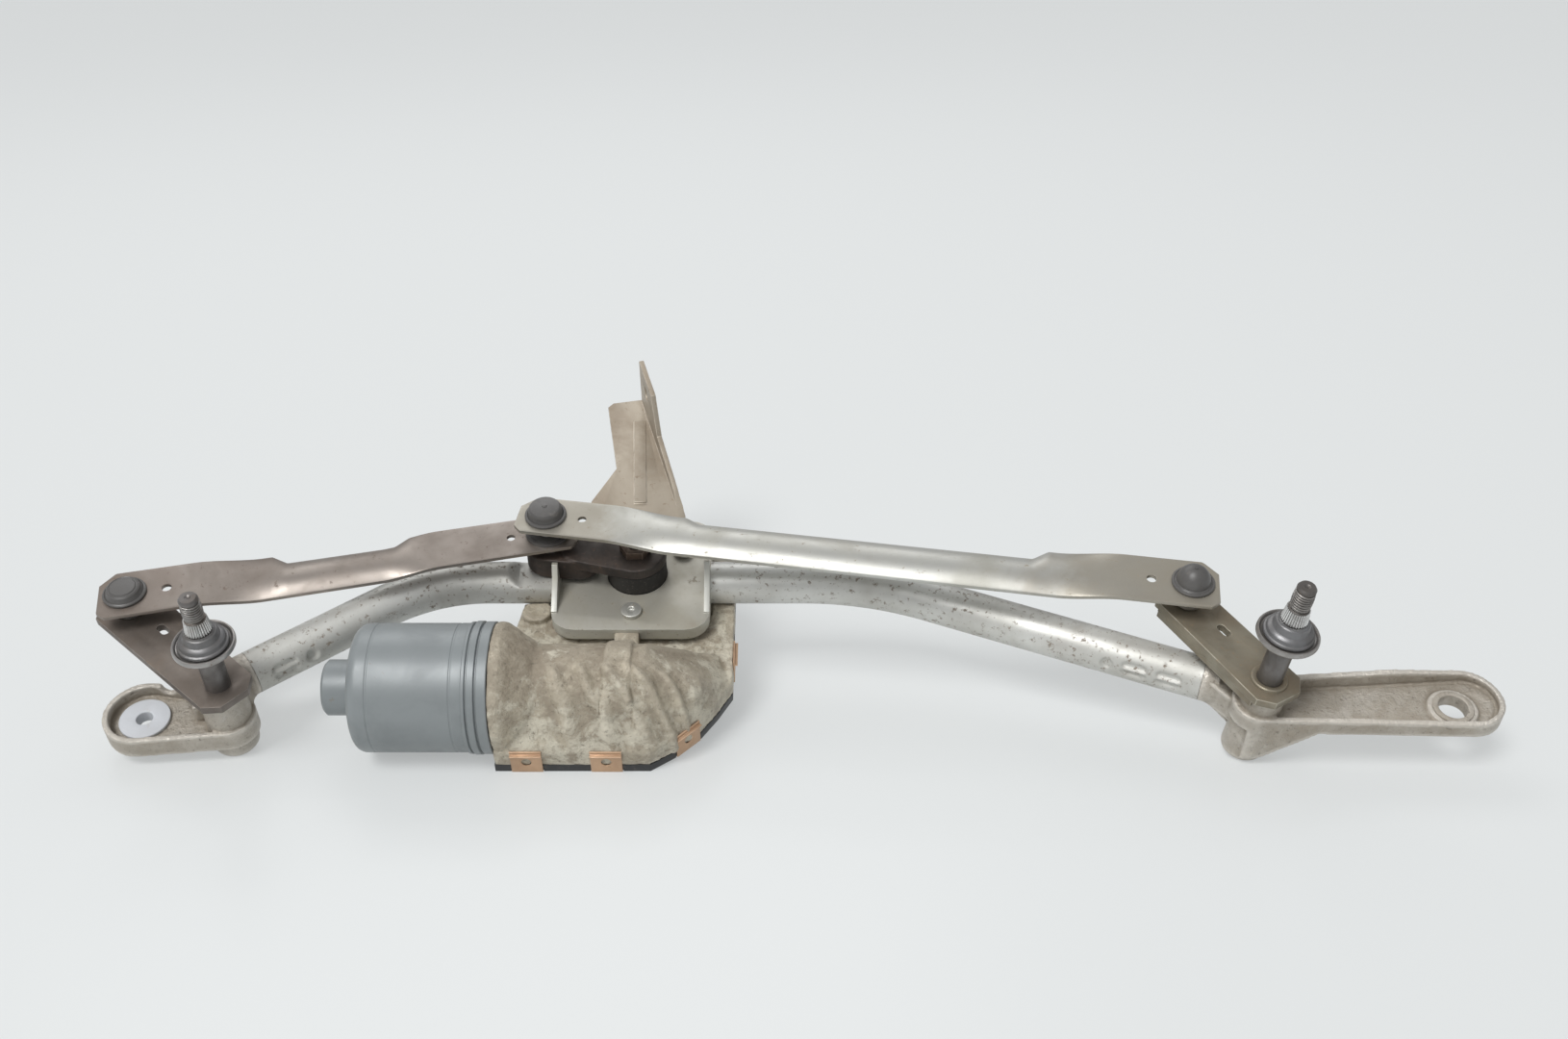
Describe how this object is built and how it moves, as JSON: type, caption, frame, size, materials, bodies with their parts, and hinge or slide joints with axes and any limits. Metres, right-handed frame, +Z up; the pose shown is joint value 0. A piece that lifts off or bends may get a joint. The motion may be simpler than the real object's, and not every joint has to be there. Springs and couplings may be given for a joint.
{
  "type": "windscreen wiper linkage",
  "caption": "Windscreen wiper linkage: bent tube frame with pivot housings, geared reversing motor, crank, pressed links and threaded wiper spindles.",
  "frame": {"origin": "centre of the bounding box's base, on the table that the barrels and gear cover rest on", "axes": "+X from the left pivot to the right pivot, +Y away from the spindles' side to the rear bracket, +Z up"},
  "size_m": [0.7256, 0.2743, 0.1362],
  "materials": {
    "galvanised_tube": "galvanised, dull with brown speckle",
    "cast_aluminium": "die-cast with a beige-brown patina",
    "pale_rubber": "pale translucent rubber",
    "zinc_steel": "zinc-plated",
    "sintered_bronze": "oil-soaked sintered bronze",
    "galvanised_sheet": "galvanised sheet with pale edges",
    "dark_steel": "blackened steel",
    "worn_cast_housing": "cast aluminium, white and brown deposits",
    "black_plastic": "glass-filled black plastic",
    "copper_spring": "copper-coloured spring strip",
    "tinned_brass": "bright contact metal",
    "blue_grey_paint": "semi-gloss paint, stained",
    "black_rubber": "granular black rubber",
    "ferrite": "dull ferrite",
    "moulded_nylon": "natural moulded plastic",
    "carbon": "graphite",
    "board_green": "coated board",
    "brown_black_steel": "black phosphated, rusting",
    "rusty_nut_steel": "brown, lightly rusted",
    "core_steel": "stacked sheet",
    "brown_link_steel": "brownish satin steel",
    "dark_cap_plastic": "dark grey moulded plastic",
    "zinc_link_steel": "zinc-plated with a yellow tint",
    "dark_arm_steel": "dark brown-grey plate",
    "washer_steel": "dished, bright on its rim",
    "grey_collar": "grey stepped collar",
    "chromate_arm_steel": "olive-yellow passivated"
  },
  "bodies": {
    "frame": {"left_tube": "galvanised_tube", "right_tube": "galvanised_tube", "left_pivot_housing": "cast_aluminium", "right_pivot_housing": "cast_aluminium", "left_lug_grommet": "pale_rubber", "right_lug_bush": "zinc_steel", "left_barrel_bushes": "sintered_bronze", "right_barrel_bushes": "sintered_bronze", "motor_bracket": "galvanised_sheet", "rear_bracket": "galvanised_sheet", "bracket_screws": "dark_steel", "gear_housing": "worn_cast_housing", "gear_cover": "black_plastic", "cover_clips": "copper_spring", "connector_socket": "black_plastic", "connector_pins": "tinned_brass", "motor_can": "blue_grey_paint", "can_seal": "black_rubber", "rear_bearing": "sintered_bronze", "front_bearing": "zinc_steel", "tail_bearing": "sintered_bronze", "field_magnets": "ferrite", "brush_holder": "moulded_nylon", "carbon_brushes": "carbon", "circuit_board": "board_green", "idler_pin": "zinc_steel", "shaft_bush": "sintered_bronze", "shaft_seal": "black_rubber"},
    "crank": {"output_shaft": "zinc_steel", "output_gear": "moulded_nylon", "motor_crank": "brown_black_steel", "crank_nut": "rusty_nut_steel", "crank_ball_stud": "zinc_steel"},
    "idler": {"idler_gear": "moulded_nylon"},
    "armature": {"armature_shaft": "zinc_steel", "armature_core": "core_steel", "commutator": "tinned_brass"},
    "left_link": {"left_link": "brown_link_steel", "left_crank_socket": "dark_cap_plastic", "left_arm_socket": "dark_cap_plastic", "left_arm_stud": "zinc_steel"},
    "right_link": {"right_link": "zinc_link_steel", "right_crank_socket": "dark_cap_plastic", "right_arm_socket": "dark_cap_plastic", "right_arm_stud": "zinc_steel"},
    "left_arm": {"left_arm": "dark_arm_steel", "left_spindle": "dark_steel", "left_washer": "washer_steel", "left_collar": "grey_collar", "left_circlip": "dark_steel"},
    "right_arm": {"right_arm": "chromate_arm_steel", "right_spindle": "dark_steel", "right_washer": "washer_steel", "right_collar": "grey_collar", "right_circlip": "dark_steel"}
  },
  "joints": [
    {"name": "crank_turn", "type": "hinge", "parent": "frame", "child": "crank", "pos_m": [-0.0822, -0.01471, 0.06616], "axis": [0, 0.3107, -0.9505], "range_deg": [0, 142]},
    {"name": "left_arm_turn", "type": "hinge", "parent": "frame", "child": "left_arm", "pos_m": [-0.2867, -0.09914, 0.02804], "axis": [0, 0.3107, -0.9505], "range_deg": [0, 70.45]},
    {"name": "right_arm_turn", "type": "hinge", "parent": "frame", "child": "right_arm", "pos_m": [0.2398, -0.11174, 0.05241], "axis": [-0.0767, 0.3098, -0.9477], "range_deg": [0, 86.25]},
    {"name": "left_link_swing", "type": "hinge", "parent": "crank", "child": "left_link", "pos_m": [-0.12962, -0.01476, 0.0856], "axis": [0, -0.3107, 0.9505], "range_deg": [0, 141.36]},
    {"name": "right_link_swing", "type": "hinge", "parent": "crank", "child": "right_link", "pos_m": [-0.12962, -0.01864, 0.09749], "axis": [0.0012, -0.3033, 0.9529], "range_deg": [0, 136.06]},
    {"name": "idler_turn", "type": "hinge", "parent": "frame", "child": "idler", "pos_m": [-0.0822, -0.07696, 0.03003], "axis": [0, -0.3107, 0.9505], "range_deg": [0, 284.1]},
    {"name": "armature_turn", "type": "hinge", "parent": "frame", "child": "armature", "pos_m": [-0.0822, -0.09312, 0.03664], "axis": [1, 0, 0], "range_deg": [0, 5681]}
  ],
  "couplings": [
    {"joint": "left_arm_turn", "follows": "crank_turn", "ratio": 0.49604},
    {"joint": "right_arm_turn", "follows": "crank_turn", "ratio": 0.60731},
    {"joint": "left_link_swing", "follows": "crank_turn", "ratio": 0.99544},
    {"joint": "right_link_swing", "follows": "crank_turn", "ratio": 0.95806},
    {"joint": "idler_turn", "follows": "crank_turn", "ratio": 2},
    {"joint": "armature_turn", "follows": "crank_turn", "ratio": 40}
  ]
}
